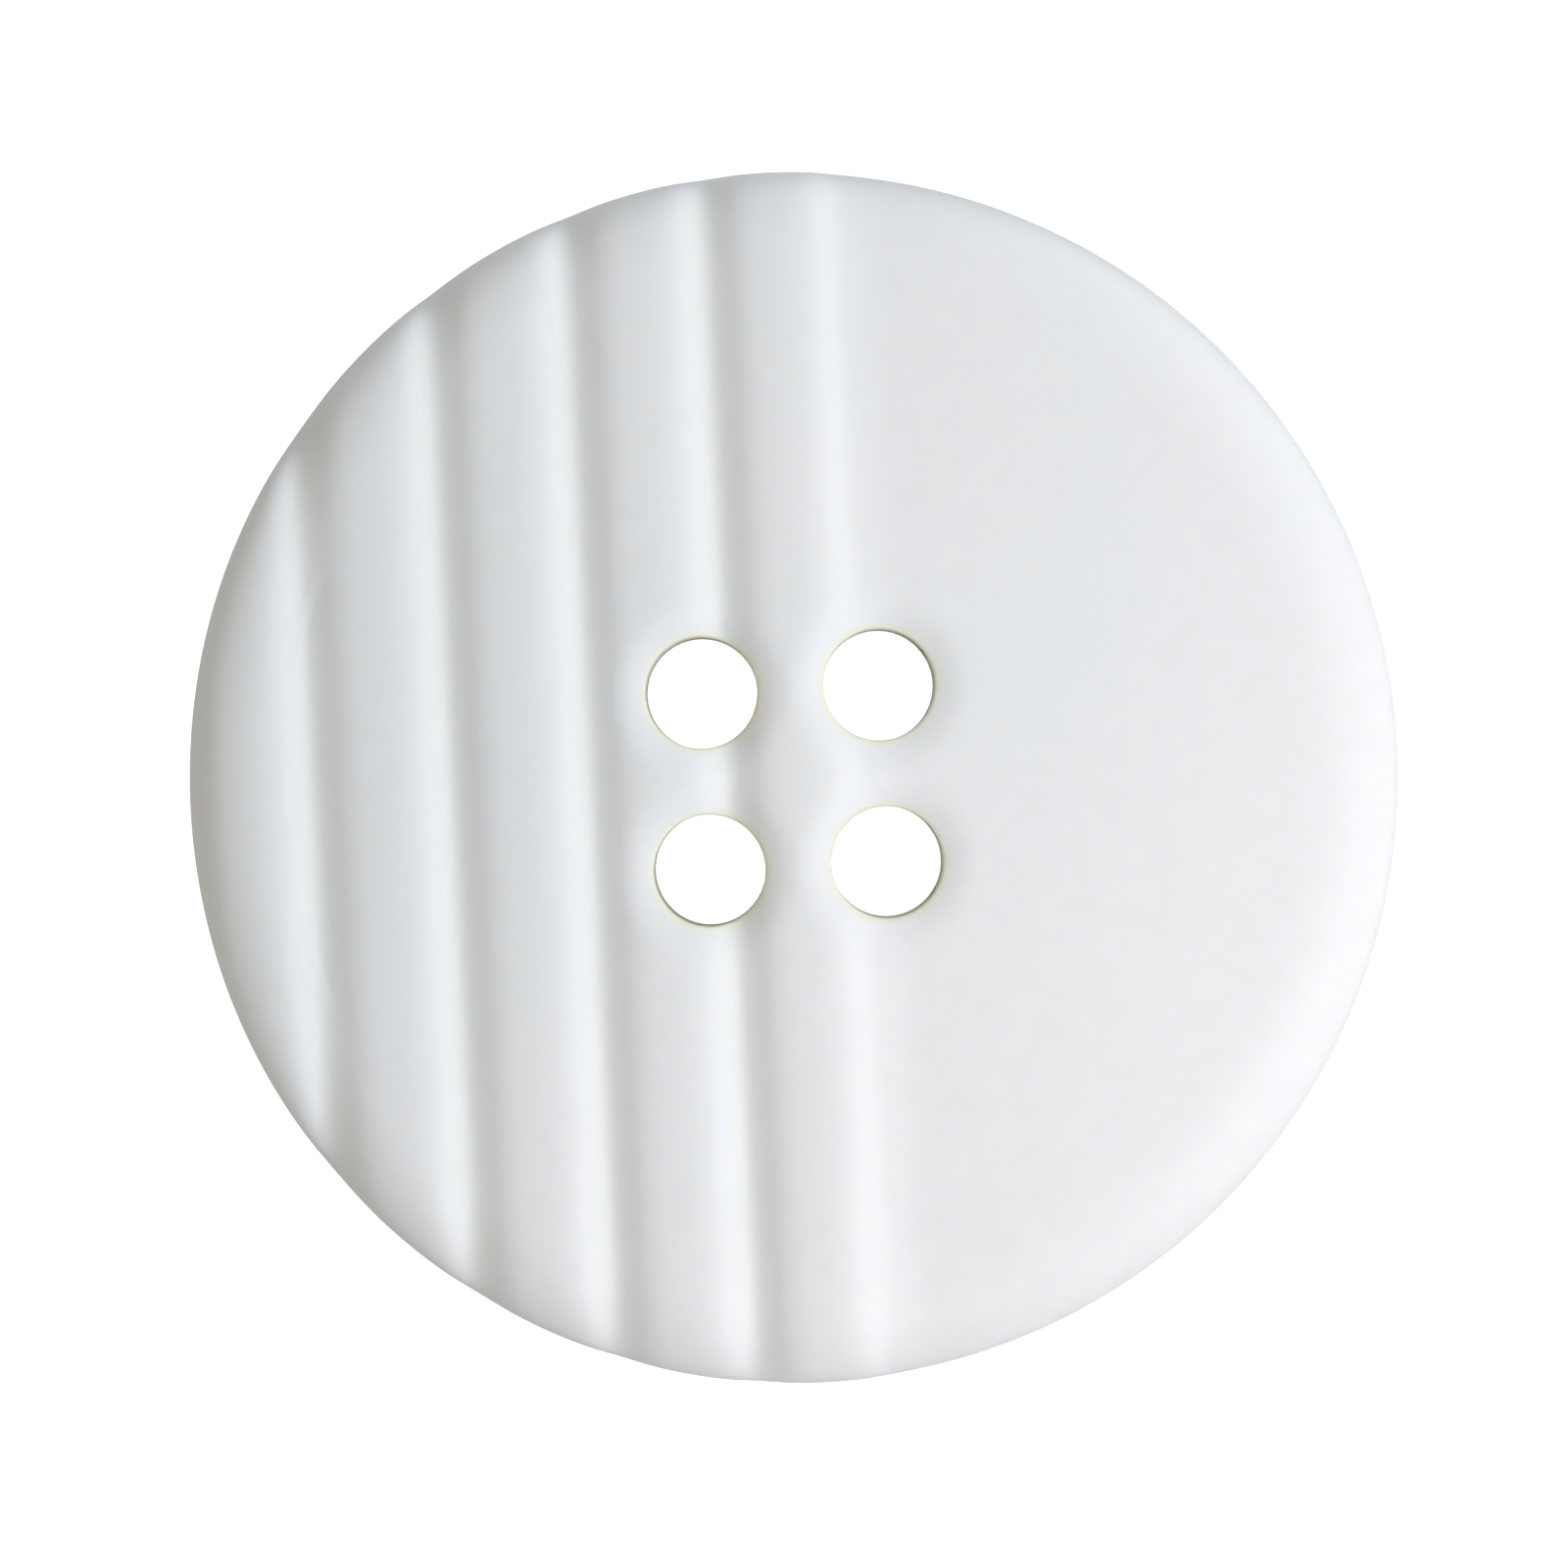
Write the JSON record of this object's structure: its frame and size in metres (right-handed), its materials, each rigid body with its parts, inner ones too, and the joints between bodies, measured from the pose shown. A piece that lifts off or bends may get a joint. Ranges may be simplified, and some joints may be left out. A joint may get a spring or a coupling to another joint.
{
  "type": "sew-through button",
  "caption": "Round white plastic button, sewn on through its thread holes, with straight raised ribs across one side of the front and a smooth field on the other.",
  "frame": {"origin": "centre of the flat back face, on the button's axis", "axes": "+Z out of the front face, Y along the ribs, ribbed side towards -X and smooth field towards +X"},
  "size_m": [0.025, 0.025, 0.0036],
  "materials": {
    "white_plastic": "satin, tumbled smooth, slightly translucent white plastic"
  },
  "bodies": {
    "root": {"button_body": "white_plastic"}
  },
  "joints": []
}
